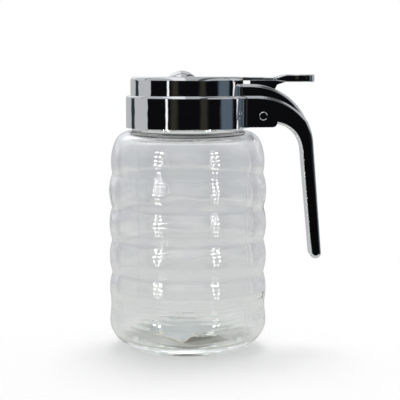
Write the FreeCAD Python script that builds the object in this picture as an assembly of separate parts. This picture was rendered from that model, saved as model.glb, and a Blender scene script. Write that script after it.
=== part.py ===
import FreeCAD, Part
import math
import os

# A ribbed glass dispenser for honey or syrup, with a chromed screw cap, a fixed drop handle and a
# sliding pour gate. Sizes are in millimetres. The origin is on the jar's axis, at the surface that
# the jar stands on. +Z is up, +X points to the handle and -X is the side that pours.

V = FreeCAD.Vector

# Jar, outside
RIB_PEAK = 36.25            # radius of the jar at the ribs' widest
RIB_PITCH = 15.0            # height from one rib to the next
RIB_COUNT = 4               # full ribs between the foot band and the shoulder
RIB_ROUND = 23.1            # rounding of a rib, up and down the wall
VALLEY_ROUND = 3.0          # rounding of the grooves between ribs
LOW_VALLEY_ROUND = 28.0     # the softer groove above the foot band
HEEL_RISE = 13.5            # height of the foot band's widest place
FOOT_RADIUS = 17.5          # outer edge of the ring that the jar stands on
FOOT_WIDTH = 3.5
PUSH_UP = 1.8               # hollow under the base
SHOULDER_INSET = 0.85       # the shoulder's widest place is this much inside the ribs'
SHOULDER_GAP = 13.5         # height from the top rib to the shoulder's widest place
SHOULDER_TURN = 24.0        # degrees, where the shoulder's top rounding takes over from its side
SHOULDER_FLAT = 0.5         # flat ring between that rounding and the neck
NECK_INSET = 10.65          # the neck's wall is this much inside the ribs' widest

# Jar, inside
WALL = 2.6
NECK_WALL = 2.8
FLOOR_HEIGHT = 5.0          # thickness of the base at the middle
FLOOR_CORNER = 8.15         # width of the rounded corner between the floor and the wall
RIM_ROUND = 0.8

# Cap: a collar round the neck, a smaller tier on it and a flat top
NECK_CLEARANCE = 1.1        # radial room round the neck, where the thread runs
COLLAR_WALL = 1.6
COLLAR_HEIGHT = 14.6
COLLAR_EDGE = 1.2
NECK_SHOWING = 1.4          # neck left bare between the shoulder and the collar
STEP_WALL = 1.1             # the cap's inner step, which sits on the jar's rim
TIER_STEP = 2.1             # the tier's wall is this much inside the collar's
TIER_HEIGHT = 8.6
TIER_EDGE = 1.9
TIER_WALL = 1.8
TOP_WALL = 3.0

# Arm: two layers that carry on from the collar and the tier. What is named OUT is measured from
# the collar's wall.
ARM_WIDTH = 26.4            # lower layer, where it leaves the collar
ARM_LEDGE = 1.6             # the upper layer is this much narrower on each side
ARM_TAPER = 0.13            # narrowing on each side for each millimetre outwards
ARM_ROOT_ROUND = 4.0        # hollow corner between the collar and the lower layer
TIER_ROOT_ROUND = 3.0       # hollow corner between the tier and the upper layer
ARM_DROP = 3.3              # top of the upper layer below the cap's top
RIDGE_OUT = 0.1             # where the upper layer starts to curve down
RIDGE_ROUND = 28.0
LEDGE_OUT = 2.9             # where the lower layer starts to curve down
LEDGE_ROUND = 28.8
ARM_EDGE = 1.3
ARM_UNDERSIDE = 3.0         # underside of the arm above the collar's lower edge
CHEEK_LIFT = 0.5            # the bracket's cheeks end this much above the collar's lower edge
CHEEK_OUT = 12.1
CHEEK_ROUND = 2.2
BLEND = 0.03                # the upper layer's ring lies this far inside the tier's wall

# Handle: a bar that hangs from a root held in the arm
HANDLE_WIDTH = 13.0
HANDLE_PROUD = 0.43         # the handle's outer side stands out from the end of the arm
HANDLE_BACK_ROUND = 30.0    # curve of the outer side where it leaves the arm
HANDLE_BACK_DROP = 9.6      # centre of that curve below the collar's lower edge
HANDLE_LEAN = 4.55          # degrees, outwards going down
HANDLE_TOP_THICK = 5.8
HANDLE_TIP_THICK = 5.2
HANDLE_DROP = 60.0          # tip below the collar's lower edge
HANDLE_THROAT = 13.0        # inner curve between the root and the bar
HANDLE_EDGE = 1.5
ROOT_OUT = 1.2
ROOT_RISE = 5.3             # root above the arm's underside
ROOT_WALL = 0.6             # metal between the root's far corner and the arm's curved top
THROAT_RISE = 1.8           # underside of the root above the collar's lower edge

# Cross pin through the cheeks and the handle's root
PIN_RADIUS = 1.9
PIN_CLEARANCE = 0.02
PIN_SETBACK = 4.5           # pin's axis beyond the root's near end
PIN_DEPTH = 2.7             # pin's axis below the root's top
PIN_PROUD = 0.45
PIN_CHAMFER = 0.3

# Pour gate: tongue in a channel of the cap, shank, thumb pad, web and dome in one piece
GATE_WIDTH = 14.0
GATE_THICK = 1.6
GATE_SUNK = 0.15            # top of the tongue below the cap's top
GATE_SIDE_CLEARANCE = 0.25
GATE_UNDER_CLEARANCE = 0.15
GATE_CORNER = 3.0
GATE_INSET = 4.45           # front of the tongue from the tier's wall
GATE_OVERLAP = 1.2          # how far the tongue covers beyond the pour hole
POUR_HOLE_RADIUS = 4.75
DOME_RADIUS = 6.2
DOME_HEIGHT = 2.9
DOME_SETBACK = 8.4          # from the pour hole's rear edge to the dome's centre
SHANK_WIDTH = 10.4
SHANK_INSET = 1.6           # the tongue narrows to the shank this much inside the tier's wall
NOTCH_WALL = 0.4            # the notch under the shank stops this far from the tier's bore
PAD_WIDTH = 16.0
PAD_OUT = 12.0
PAD_LENGTH = 17.6
PAD_SPLAY = 1.5             # length over which the shank widens to the pad
PAD_RISE = 1.0              # top of the pad above the cap's top
PAD_THICK = 3.4
PAD_RAMP = 4.4
PAD_CORNER = 5.4
WEB_THICK = 4.4
WEB_OUT = 0.3
WEB_FOOT = 7.9              # length of the web's lower edge
WEB_KNEE_OUT = 0.6          # knee in the web's rear edge, beyond the pad's start
WEB_KNEE_DROP = 1.2         # and below the pad's underside
WEB_CLEARANCE = 0.4
WEB_BRIDGE = 2.0            # metal between the web's slot and the handle's root

# Paper slip that lies in the jar
SLIP_LENGTH = 34.0
SLIP_WIDTH = 28.0
SLIP_THICK = 0.25
SLIP_CORNER_X = -2.7        # its near corner
SLIP_CORNER_Y = -16.3
SLIP_TURN = 124.5           # degrees from +X to its long side
SLIP_LIFT = 2.8             # how far the far side stands off the floor
SLIP_BEND = 8.0             # width of the strip over which it lifts

# For cutting tools
FAR = 80.0                  # beyond everything
OVERCUT = 1.0               # past the face that is cut
HAIR = 1e-4                 # closer than this counts as touching


def reach_at(start, top_z, curve_round, z):
    """How far out the curved top of an arm's layer is at a height."""
    return start + math.sqrt(curve_round ** 2 - (z - top_z + curve_round) ** 2)


# Radii worked out from the sizes above
NECK_RADIUS = RIB_PEAK - NECK_INSET
NECK_BORE = NECK_RADIUS - NECK_WALL
SHOULDER_PEAK = RIB_PEAK - SHOULDER_INSET
NECK_LEAN = math.radians(SHOULDER_TURN)
SHOULDER_RUN = (NECK_RADIUS + SHOULDER_FLAT - SHOULDER_PEAK + RIB_ROUND) / math.cos(NECK_LEAN)
SHOULDER_ROUND = RIB_ROUND - SHOULDER_RUN
FLOOR_RADIUS = RIB_PEAK - WALL - FLOOR_CORNER
COLLAR_BORE = NECK_RADIUS + NECK_CLEARANCE
COLLAR_RADIUS = COLLAR_BORE + COLLAR_WALL
TIER_RADIUS = COLLAR_RADIUS - TIER_STEP
TIER_BORE = TIER_RADIUS - TIER_WALL

# Heights
SHOULDER_Z = HEEL_RISE + RIB_COUNT * RIB_PITCH + SHOULDER_GAP
NECK_BASE_Z = SHOULDER_Z + SHOULDER_RUN * math.sin(NECK_LEAN) + SHOULDER_ROUND
COLLAR_Z = NECK_BASE_Z + NECK_SHOWING
LEDGE_Z = COLLAR_Z + COLLAR_HEIGHT
NECK_TOP_Z = LEDGE_Z - STEP_WALL
CAP_TOP_Z = LEDGE_Z + TIER_HEIGHT
TOP_UNDERSIDE_Z = CAP_TOP_Z - TOP_WALL
ARM_TOP_Z = CAP_TOP_Z - ARM_DROP
UNDERSIDE_Z = COLLAR_Z + ARM_UNDERSIDE
ROOT_TOP_Z = UNDERSIDE_Z + ROOT_RISE
THROAT_Z = COLLAR_Z + THROAT_RISE
PIN_Z = ROOT_TOP_Z - PIN_DEPTH
WEB_BOTTOM_Z = ROOT_TOP_Z + WEB_BRIDGE + WEB_CLEARANCE
GATE_TOP_Z = CAP_TOP_Z - GATE_SUNK
GATE_BOTTOM_Z = GATE_TOP_Z - GATE_THICK
CHANNEL_FLOOR_Z = GATE_BOTTOM_Z - GATE_UNDER_CLEARANCE

# Places along the arm and the gate
RIDGE_START = COLLAR_RADIUS + RIDGE_OUT
LEDGE_START = COLLAR_RADIUS + LEDGE_OUT
CHEEK_END = COLLAR_RADIUS + CHEEK_OUT
ROOT_START = COLLAR_RADIUS + ROOT_OUT
ROOT_END = reach_at(RIDGE_START, ARM_TOP_Z, RIDGE_ROUND, ROOT_TOP_Z) - ROOT_WALL
PIN_X = ROOT_START + PIN_SETBACK
BACK_START_X = reach_at(LEDGE_START, LEDGE_Z, LEDGE_ROUND, UNDERSIDE_Z) + HANDLE_PROUD
BACK_RISE = ARM_UNDERSIDE + HANDLE_BACK_DROP
BACK_X = BACK_START_X - math.sqrt(HANDLE_BACK_ROUND ** 2 - BACK_RISE ** 2)
BACK = (BACK_X, COLLAR_Z - HANDLE_BACK_DROP)
LEAN = math.radians(HANDLE_LEAN)
GATE_TIP_X = GATE_INSET - TIER_RADIUS
POUR_HOLE_X = GATE_TIP_X + GATE_OVERLAP + POUR_HOLE_RADIUS
DOME_X = POUR_HOLE_X + POUR_HOLE_RADIUS + DOME_SETBACK
CHANNEL_WIDTH = GATE_WIDTH + 2 * GATE_SIDE_CLEARANCE
SHANK_START = TIER_RADIUS - SHANK_INSET
PAD_START = COLLAR_RADIUS + PAD_OUT
PAD_END = PAD_START + PAD_LENGTH
PAD_TOP_Z = CAP_TOP_Z + PAD_RISE
PAD_BOTTOM_Z = PAD_TOP_Z - PAD_THICK
RAMP_END = PAD_START + PAD_RAMP
WEB_START = COLLAR_RADIUS + WEB_OUT


def at(x, z):
    """A point of a side profile."""
    return V(x, 0, z)


def on_circle(centre, radius, degrees):
    angle = math.radians(degrees)
    return at(centre[0] + radius * math.cos(angle), centre[1] + radius * math.sin(angle))


def arc(centre, radius, start, end):
    """Arc in a side profile, between two angles in degrees."""
    middle = on_circle(centre, radius, (start + end) / 2)
    return Part.Arc(on_circle(centre, radius, start), middle, on_circle(centre, radius, end)).toShape()


def line(start, end):
    return Part.LineSegment(start, end).toShape()


def quarter_ellipse(centre, run, rise):
    """From the bottom point to the outer point of an ellipse."""
    side = at(centre[0] + run, centre[1])
    bottom = at(centre[0], centre[1] - rise)
    ends = (side, bottom) if run >= rise else (bottom, side)
    ellipse = Part.Ellipse(ends[0], ends[1], at(*centre))
    return Part.ArcOfEllipse(ellipse, 0, math.pi / 2).toShape()


def face_of(edges):
    return Part.Face(Part.Wire(Part.__sortEdges__(edges)))


def profile_face(points):
    """Face with straight sides through points of a side profile."""
    closed = points + points[:1]
    return face_of([line(a, b) for a, b in zip(closed, closed[1:])])


def across(face, width):
    """A side profile made solid, centred on the XZ plane."""
    solid = face.extrude(V(0, width, 0))
    solid.translate(V(0, -width / 2, 0))
    return solid


def slab(x0, x1, width, z0, z1):
    """Box centred on the XZ plane."""
    return Part.makeBox(x1 - x0, width, z1 - z0, V(x0, -width / 2, z0))


def disc(radius, z0, z1, x=0.0):
    return Part.makeCylinder(radius, z1 - z0, V(x, 0, z0))


def edges_where(shape, test):
    return [edge for edge in shape.Edges if test(edge)]


def is_round(edge):
    return isinstance(edge.Curve, Part.Circle)


def is_upright(edge):
    """Is it a straight edge along Z?"""
    start, end = edge.Vertexes[0].Point, edge.Vertexes[-1].Point
    return len(edge.Vertexes) == 2 and math.hypot(start.x - end.x, start.y - end.y) < HAIR


def middle_of(edge):
    return edge.valueAt((edge.FirstParameter + edge.LastParameter) / 2)


def is_over(point, corner):
    """Is a point on the line across Y through a point of a side profile?"""
    return math.hypot(point.x - corner.x, point.z - corner.z) < HAIR


def export(name, shape):
    shape.exportStep("parts/" + name + ".step")


# Jar ---------------------------------------------------------------------------------------------


def rib_centres():
    """Centres of the circles that round the foot band, the ribs and the shoulder, going up."""
    heights = [HEEL_RISE + i * RIB_PITCH for i in range(RIB_COUNT + 1)]
    return [(RIB_PEAK - RIB_ROUND, z) for z in heights] + [(SHOULDER_PEAK - RIB_ROUND, SHOULDER_Z)]


def groove_centre(low, high, reach):
    """The point outside two rib circles' centres that is reach from both."""
    dx, dz = high[0] - low[0], high[1] - low[1]
    apart = math.hypot(dx, dz)
    out = math.sqrt(reach ** 2 - (apart / 2) ** 2)
    return ((low[0] + high[0]) / 2 + out * dz / apart, (low[1] + high[1]) / 2 - out * dx / apart)


def heading(start, end):
    return math.degrees(math.atan2(end[1] - start[1], end[0] - start[0]))


def shoulder_corner():
    """Centre of the rounding between the shoulder and the neck."""
    return (NECK_RADIUS + SHOULDER_FLAT, NECK_BASE_Z - SHOULDER_ROUND)


def ribbed_side(inset):
    """The ribbed wall's arcs from the foot band to the top of the shoulder, set in by inset."""
    centres = rib_centres()
    edges = []
    start = 0.0
    for i, (low, high) in enumerate(zip(centres, centres[1:])):
        groove = LOW_VALLEY_ROUND if i == 0 else VALLEY_ROUND
        hollow = groove_centre(low, high, RIB_ROUND + groove)
        edges.append(arc(low, RIB_ROUND - inset, start, heading(low, hollow)))
        edges.append(arc(hollow, groove + inset, heading(hollow, low) % 360, heading(hollow, high) % 360))
        start = heading(high, hollow)
    edges.append(arc(centres[-1], RIB_ROUND - inset, start, SHOULDER_TURN))
    edges.append(arc(shoulder_corner(), SHOULDER_ROUND - inset, SHOULDER_TURN, 90))
    return edges


def jar_underside():
    """The hollow under the base, the ring that the jar stands on and the heel."""
    foot_inner = FOOT_RADIUS - FOOT_WIDTH
    dome_radius = (foot_inner ** 2 + PUSH_UP ** 2) / (2 * PUSH_UP)
    dome_start = math.degrees(math.acos(foot_inner / dome_radius))
    return [
        arc((0, PUSH_UP - dome_radius), dome_radius, dome_start, 90),
        line(at(foot_inner, 0), at(FOOT_RADIUS, 0)),
        quarter_ellipse((FOOT_RADIUS, HEEL_RISE), RIB_PEAK - FOOT_RADIUS, HEEL_RISE),
    ]


def jar_neck():
    corner_x = shoulder_corner()[0]
    inner_z = NECK_BASE_Z - WALL
    return [
        line(at(corner_x, NECK_BASE_Z), at(NECK_RADIUS, NECK_BASE_Z)),
        line(at(NECK_RADIUS, NECK_BASE_Z), at(NECK_RADIUS, NECK_TOP_Z)),
        line(at(NECK_RADIUS, NECK_TOP_Z), at(NECK_BORE, NECK_TOP_Z)),
        line(at(NECK_BORE, NECK_TOP_Z), at(NECK_BORE, inner_z)),
        line(at(NECK_BORE, inner_z), at(corner_x, inner_z)),
    ]


def jar_floor():
    return [
        quarter_ellipse((FLOOR_RADIUS, HEEL_RISE), FLOOR_CORNER, HEEL_RISE - FLOOR_HEIGHT),
        line(at(FLOOR_RADIUS, FLOOR_HEIGHT), at(0, FLOOR_HEIGHT)),
        line(at(0, FLOOR_HEIGHT), at(0, PUSH_UP)),
    ]


def jar():
    outside = jar_underside() + ribbed_side(0) + jar_neck()
    solid = face_of(outside + ribbed_side(WALL) + jar_floor()).revolve(V(0, 0, 0), V(0, 0, 1), 360)
    rim = edges_where(solid, lambda e: abs(middle_of(e).z - NECK_TOP_Z) < HAIR and is_round(e))
    return solid.makeFillet(RIM_ROUND, rim)


# Cap ---------------------------------------------------------------------------------------------


def arm_plan(width, height):
    """The arm's tapered outline seen from above, as a tall prism."""
    root = width / 2 + ARM_TAPER * COLLAR_RADIUS
    tip = width / 2 - ARM_TAPER * (FAR - COLLAR_RADIUS)
    corners = [V(0, -root, 0), V(FAR, -tip, 0), V(FAR, tip, 0), V(0, root, 0)]
    wire = Part.makePolygon(corners + corners[:1])
    return Part.Face(wire).extrude(V(0, 0, height))


def arm_layer(width, top_z, curve_start, curve_round, underside):
    """One layer of the arm: flat on top, then curving down to the arm's underside."""
    centre = (curve_start, top_z - curve_round)
    end_angle = math.degrees(math.asin((UNDERSIDE_Z - centre[1]) / curve_round))
    end = on_circle(centre, curve_round, end_angle)
    edges = [arc(centre, curve_round, end_angle, 90)]
    edges.append(line(at(curve_start, top_z), at(0, top_z)))
    edges.append(line(at(0, top_z), underside[0]))
    edges += [line(a, b) for a, b in zip(underside, underside[1:] + [end])]
    return across(face_of(edges), FAR).common(arm_plan(width, FAR * 2))


def with_ring(layer, radius, bottom_z, top_z, root_round, edge_round, curve):
    """A layer joined to its ring, with hollow corners at the join and a rounded top edge."""
    joined = disc(radius, bottom_z, top_z).fuse(layer).removeSplitter()
    corners = edges_where(joined, lambda e: is_upright(e) and touches_ring(e, radius))
    joined = joined.makeFillet(root_round, corners)
    rim = edges_where(joined, lambda e: on_rim(e, top_z, curve))
    return joined.makeFillet(edge_round, rim)


def touches_ring(edge, radius):
    """Does the edge lie on the ring's wall where the arm leaves it?"""
    point = middle_of(edge)
    return abs(math.hypot(point.x, point.y) - radius) < 10 * HAIR and point.x > 0 and abs(point.y) > HAIR


def on_rim(edge, top_z, curve):
    """Is the edge on a layer's top surface, and not the line where the flat part ends?"""
    start, radius = curve
    points = [middle_of(edge)] + [v.Point for v in edge.Vertexes]

    def top_at(x):
        over = max(0.0, x - start)
        return top_z - radius + math.sqrt(max(0.0, radius ** 2 - over ** 2))

    crosses = len({round(p.x, 3) for p in points}) == 1
    return not crosses and all(abs(p.z - top_at(p.x)) < 10 * HAIR for p in points)


def lower_layer():
    """The collar with the arm's lower layer, whose cheeks are deep up to CHEEK_END."""
    low = COLLAR_Z + CHEEK_LIFT
    underside = [at(0, low), at(CHEEK_END, low), at(CHEEK_END, UNDERSIDE_Z)]
    layer = arm_layer(ARM_WIDTH, LEDGE_Z, LEDGE_START, LEDGE_ROUND, underside)
    corner = at(CHEEK_END, low)
    lower_corner = edges_where(layer, lambda e: is_over(middle_of(e), corner))
    layer = layer.makeFillet(CHEEK_ROUND, lower_corner)
    curve = (LEDGE_START, LEDGE_ROUND)
    return with_ring(layer, COLLAR_RADIUS, COLLAR_Z, LEDGE_Z, ARM_ROOT_ROUND, COLLAR_EDGE, curve)


def upper_layer():
    """The arm's upper layer with the ring that joins it to the tier."""
    width = ARM_WIDTH - 2 * ARM_LEDGE
    curve = (RIDGE_START, RIDGE_ROUND)
    layer = arm_layer(width, ARM_TOP_Z, RIDGE_START, RIDGE_ROUND, [at(0, UNDERSIDE_Z)])
    return with_ring(layer, TIER_RADIUS - BLEND, UNDERSIDE_Z, ARM_TOP_Z, TIER_ROOT_ROUND, ARM_EDGE, curve)


def cap():
    tier = disc(TIER_RADIUS, UNDERSIDE_Z, CAP_TOP_Z)
    tier = tier.makeFillet(TIER_EDGE, edges_where(tier, lambda e: abs(middle_of(e).z - CAP_TOP_Z) < HAIR))
    solid = lower_layer().fuse([upper_layer(), tier])
    hollows = bores() + gate_cuts() + handle_cuts()
    return solid.cut(hollows).removeSplitter()


def bores():
    """Room for the jar's neck, and the hollow tier above it."""
    return [
        disc(COLLAR_BORE, COLLAR_Z - OVERCUT, NECK_TOP_Z),
        disc(TIER_BORE, NECK_TOP_Z - OVERCUT, TOP_UNDERSIDE_Z),
    ]


def gate_cuts():
    """The gate's channel, open to the rear, the notch under the shank, the web's slot and the pour hole."""
    front = GATE_TIP_X - GATE_SIDE_CLEARANCE
    channel = slab(front, FAR, CHANNEL_WIDTH, CHANNEL_FLOOR_Z, FAR * 2)
    corners = edges_where(channel, lambda e: is_upright(e) and middle_of(e).x < 0)
    slot_width = WEB_THICK + 2 * WEB_CLEARANCE
    return [
        channel.makeFillet(GATE_CORNER + GATE_SIDE_CLEARANCE, corners),
        slab(TIER_BORE + NOTCH_WALL, RIDGE_START, CHANNEL_WIDTH, ARM_TOP_Z, FAR * 2),
        slab(WEB_START - WEB_CLEARANCE, FAR, slot_width, WEB_BOTTOM_Z - WEB_CLEARANCE, FAR * 2),
        disc(POUR_HOLE_RADIUS, TOP_UNDERSIDE_Z - OVERCUT, CAP_TOP_Z, POUR_HOLE_X),
    ]


def handle_cuts():
    """The pocket for the handle's root, and the pin's hole through the cheeks."""
    return [
        slab(ROOT_START, ROOT_END, HANDLE_WIDTH, COLLAR_Z - OVERCUT, ROOT_TOP_Z),
        pin_along(PIN_RADIUS + PIN_CLEARANCE, ARM_WIDTH),
    ]


# Handle and pin ----------------------------------------------------------------------------------


def on_bar(down, inward):
    """A point of the leaning bar, measured from where its straight outer side starts."""
    start = on_circle(BACK, HANDLE_BACK_ROUND, HANDLE_LEAN)
    x = start.x + down * math.sin(LEAN) - inward * math.cos(LEAN)
    z = start.z - down * math.cos(LEAN) - inward * math.sin(LEAN)
    return at(x, z)


def bar_length():
    """Length of the bar's straight outer side, down to its round tip."""
    tip_z = COLLAR_Z - HANDLE_DROP + HANDLE_TIP_THICK / 2
    return (on_bar(0, 0).z - tip_z) / math.cos(LEAN)


def inner_slope():
    """Degrees from upright of the bar's inner side."""
    top = on_bar(0, HANDLE_TOP_THICK)
    tip = on_bar(bar_length(), HANDLE_TIP_THICK)
    return math.degrees(math.atan2(tip.x - top.x, top.z - tip.z))


def throat_centre():
    """Centre of the hollow curve between the root's underside and the bar's inner side."""
    z = THROAT_Z - HANDLE_THROAT
    slope = math.radians(inner_slope())
    top = on_bar(0, HANDLE_TOP_THICK)
    side_x = top.x + (top.z - z) * math.tan(slope)
    return (side_x - HANDLE_THROAT / math.cos(slope), z)


def bar_outline():
    """The throat, the bar's inner side, its round tip and its outer side."""
    throat = throat_centre()
    length = bar_length()
    half = HANDLE_TIP_THICK / 2
    tip_inner = on_bar(length, HANDLE_TIP_THICK)
    tip_outer = on_bar(length, 0)
    leaves_arm = math.degrees(math.asin(BACK_RISE / HANDLE_BACK_ROUND))
    return [
        arc(throat, HANDLE_THROAT, inner_slope(), 90),
        line(on_circle(throat, HANDLE_THROAT, inner_slope()), tip_inner),
        Part.Arc(tip_inner, on_bar(length + half, half), tip_outer).toShape(),
        line(tip_outer, on_bar(0, 0)),
        arc(BACK, HANDLE_BACK_ROUND, HANDLE_LEAN, leaves_arm),
    ]


def root_outline():
    """The root's sides, from the outer curve round to the throat."""
    corners = [
        at(BACK_START_X, UNDERSIDE_Z),
        at(ROOT_END, UNDERSIDE_Z),
        at(ROOT_END, ROOT_TOP_Z),
        at(ROOT_START, ROOT_TOP_Z),
        at(ROOT_START, THROAT_Z),
        at(throat_centre()[0], THROAT_Z),
    ]
    return [line(a, b) for a, b in zip(corners, corners[1:])]


def handle():
    bar = across(face_of(root_outline() + bar_outline()), HANDLE_WIDTH)
    bar = bar.makeFillet(HANDLE_EDGE, edges_where(bar, is_long_edge))
    return bar.cut(pin_along(PIN_RADIUS + PIN_CLEARANCE, ARM_WIDTH))


def is_long_edge(edge):
    """Is it an edge of the handle's side faces, outside the root?"""
    points = [v.Point for v in edge.Vertexes]
    flat_side = all(abs(abs(p.y) - HANDLE_WIDTH / 2) < HAIR for p in points)
    same_side = len({p.y > 0 for p in points}) == 1
    return flat_side and same_side and middle_of(edge).z < UNDERSIDE_Z - HAIR


def pin_along(radius, half_length):
    return Part.makeCylinder(radius, 2 * half_length, V(PIN_X, -half_length, PIN_Z), V(0, 1, 0))


def cross_pin():
    arm_half = ARM_WIDTH / 2 - ARM_TAPER * (PIN_X - COLLAR_RADIUS)
    pin = pin_along(PIN_RADIUS, arm_half + PIN_PROUD)
    return pin.makeChamfer(PIN_CHAMFER, edges_where(pin, is_round))


# Gate --------------------------------------------------------------------------------------------


def tongue():
    plate = slab(GATE_TIP_X, SHANK_START, GATE_WIDTH, GATE_BOTTOM_Z, GATE_TOP_Z)
    corners = edges_where(plate, lambda e: is_upright(e) and middle_of(e).x < 0)
    return plate.makeFillet(GATE_CORNER, corners)


def dome():
    ball_radius = (DOME_RADIUS ** 2 + DOME_HEIGHT ** 2) / (2 * DOME_HEIGHT)
    ball = Part.makeSphere(ball_radius, V(DOME_X, 0, GATE_TOP_Z + DOME_HEIGHT - ball_radius))
    above = disc(ball_radius, GATE_TOP_Z - GATE_THICK / 2, GATE_TOP_Z + DOME_HEIGHT + OVERCUT, DOME_X)
    return ball.common(above)


def pad_plan(start):
    """The pad seen from above, widening from the shank, as a tall prism."""
    half, neck = PAD_WIDTH / 2, SHANK_WIDTH / 2
    corners = [
        V(start, -neck, 0), V(PAD_START, -half, 0), V(PAD_END, -half, 0),
        V(PAD_END, half, 0), V(PAD_START, half, 0), V(start, neck, 0),
    ]
    plan = Part.Face(Part.makePolygon(corners + corners[:1])).extrude(V(0, 0, FAR * 2))
    ends = edges_where(plan, lambda e: is_upright(e) and middle_of(e).x > PAD_END - HAIR)
    return plan.makeFillet(PAD_CORNER, ends)


def pad():
    """Thumb pad with its ramp."""
    start = PAD_START - PAD_SPLAY
    side = profile_face([
        at(start, GATE_TOP_Z),
        at(PAD_START, GATE_TOP_Z),
        at(RAMP_END, PAD_TOP_Z),
        at(PAD_END, PAD_TOP_Z),
        at(PAD_END, PAD_BOTTOM_Z),
        at(RAMP_END, PAD_BOTTOM_Z),
        at(PAD_START, GATE_BOTTOM_Z),
        at(start, GATE_BOTTOM_Z),
    ])
    return across(side, FAR).common(pad_plan(start))


def web():
    """Plate under the shank that runs in the arm's slot."""
    middle_z = GATE_TOP_Z - GATE_THICK / 2
    side = profile_face([
        at(WEB_START, middle_z),
        at(WEB_START, WEB_BOTTOM_Z),
        at(WEB_START + WEB_FOOT, WEB_BOTTOM_Z),
        at(PAD_START + WEB_KNEE_OUT, PAD_BOTTOM_Z - WEB_KNEE_DROP),
        at(RAMP_END, PAD_BOTTOM_Z),
        at(RAMP_END, PAD_BOTTOM_Z + PAD_THICK / 2),
        at(PAD_START, middle_z),
    ])
    return across(side, WEB_THICK)


def thumb_gate():
    shank = slab(SHANK_START - OVERCUT, PAD_START, SHANK_WIDTH, GATE_BOTTOM_Z, GATE_TOP_Z)
    return tongue().fuse([dome(), shank, pad(), web()]).removeSplitter()


# Paper slip --------------------------------------------------------------------------------------


def paper_slip():
    """A slip whose near strip lies on the floor and whose far side stands off it."""
    half_bend = SLIP_BEND / 2
    radius = (half_bend ** 2 + (SLIP_LIFT / 2) ** 2) / SLIP_LIFT
    sweep = math.degrees(math.asin(half_bend / radius))
    low, high = (0.0, radius), (SLIP_BEND, SLIP_LIFT - radius)
    top = SLIP_LIFT + SLIP_THICK
    under = [
        arc(low, radius, -90, -90 + sweep),
        arc(high, radius, 90 + sweep, 90),
        line(at(SLIP_BEND, SLIP_LIFT), at(SLIP_WIDTH, SLIP_LIFT)),
    ]
    over = [
        arc(low, radius - SLIP_THICK, -90, -90 + sweep),
        arc(high, radius + SLIP_THICK, 90 + sweep, 90),
        line(at(SLIP_BEND, top), at(SLIP_WIDTH, top)),
    ]
    ends = [line(at(0, 0), at(0, SLIP_THICK)), line(at(SLIP_WIDTH, SLIP_LIFT), at(SLIP_WIDTH, top))]
    solid = face_of(under + over + ends).extrude(V(0, SLIP_LENGTH, 0))
    solid.rotate(V(0, 0, 0), V(0, 0, 1), SLIP_TURN - 90)
    solid.translate(V(SLIP_CORNER_X, SLIP_CORNER_Y, FLOOR_HEIGHT))
    return solid


os.makedirs("parts", exist_ok=True)
export("glass_jar", jar())
export("cap", cap())
export("handle", handle())
export("cross_pin", cross_pin())
export("thumb_gate", thumb_gate())
export("paper_slip", paper_slip())
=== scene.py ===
import math
import bpy
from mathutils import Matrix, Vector, noise


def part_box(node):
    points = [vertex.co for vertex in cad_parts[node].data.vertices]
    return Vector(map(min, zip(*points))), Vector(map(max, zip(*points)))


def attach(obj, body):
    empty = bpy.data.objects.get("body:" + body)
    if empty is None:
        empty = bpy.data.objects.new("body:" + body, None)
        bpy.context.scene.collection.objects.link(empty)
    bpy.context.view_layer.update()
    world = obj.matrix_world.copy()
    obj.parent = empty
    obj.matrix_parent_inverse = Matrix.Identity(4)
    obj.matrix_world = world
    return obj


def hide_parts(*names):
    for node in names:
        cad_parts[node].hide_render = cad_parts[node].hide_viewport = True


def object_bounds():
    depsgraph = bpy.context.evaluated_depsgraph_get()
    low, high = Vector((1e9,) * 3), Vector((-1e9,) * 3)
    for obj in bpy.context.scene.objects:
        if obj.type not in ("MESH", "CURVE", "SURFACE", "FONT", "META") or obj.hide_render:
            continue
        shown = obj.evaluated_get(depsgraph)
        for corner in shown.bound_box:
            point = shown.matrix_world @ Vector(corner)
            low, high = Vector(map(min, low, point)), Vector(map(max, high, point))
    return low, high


# Looks for a ribbed glass honey dispenser: clear pressed glass, a mirror-chromed cap, arm, handle
# and thumb gate, and a blank paper slip. The sizes of the jar, the gate and the slip are written in
# millimetres and multiplied by MM where they meet Blender. All other lengths are in metres.

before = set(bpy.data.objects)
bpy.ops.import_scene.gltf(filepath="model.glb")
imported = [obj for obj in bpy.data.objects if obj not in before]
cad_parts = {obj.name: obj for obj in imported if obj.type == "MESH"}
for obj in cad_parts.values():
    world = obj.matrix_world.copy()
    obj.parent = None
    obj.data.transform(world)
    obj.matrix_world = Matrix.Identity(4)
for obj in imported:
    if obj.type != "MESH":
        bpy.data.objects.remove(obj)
cad_low, cad_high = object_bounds()
MM = 0.001

# Camera: how far from the jar's axis, how high, where it aims and its lens
CAMERA_DISTANCE = 0.5306
CAMERA_HEIGHT = 0.1252
CAMERA_PITCH = 6.05         # degrees below level
CAMERA_YAW = 0.61           # degrees towards +X
CAMERA_LENS = 103.7
SENSOR_WIDTH = 36.0

# Studio
FLOOR_RADIUS = 0.22
FLOOR_STEPS = 96
FLOOR_WHITE = 0.62
FLOOR_LIFT = 0.42           # glow that only camera rays see, so that the lit floor reads as white
FADE_FROM, FADE_TO = 0.10, 0.20     # where the floor turns into the plain white background
ROOM_LIGHT = 0.55           # the world's level for diffuse light
LIGHT_BOUNCES = 32          # the thick base and the jar's edges turn light round many times


# Small helpers ------------------------------------------------------------------------------------


def mesh_piece(name, verts, faces, smooth=True):
    mesh = bpy.data.meshes.new(name)
    mesh.from_pydata(verts, [], faces)
    mesh.validate()
    mesh.shade_smooth() if smooth else mesh.shade_flat()
    obj = bpy.data.objects.new(name, mesh)
    bpy.context.scene.collection.objects.link(obj)
    return obj


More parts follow.
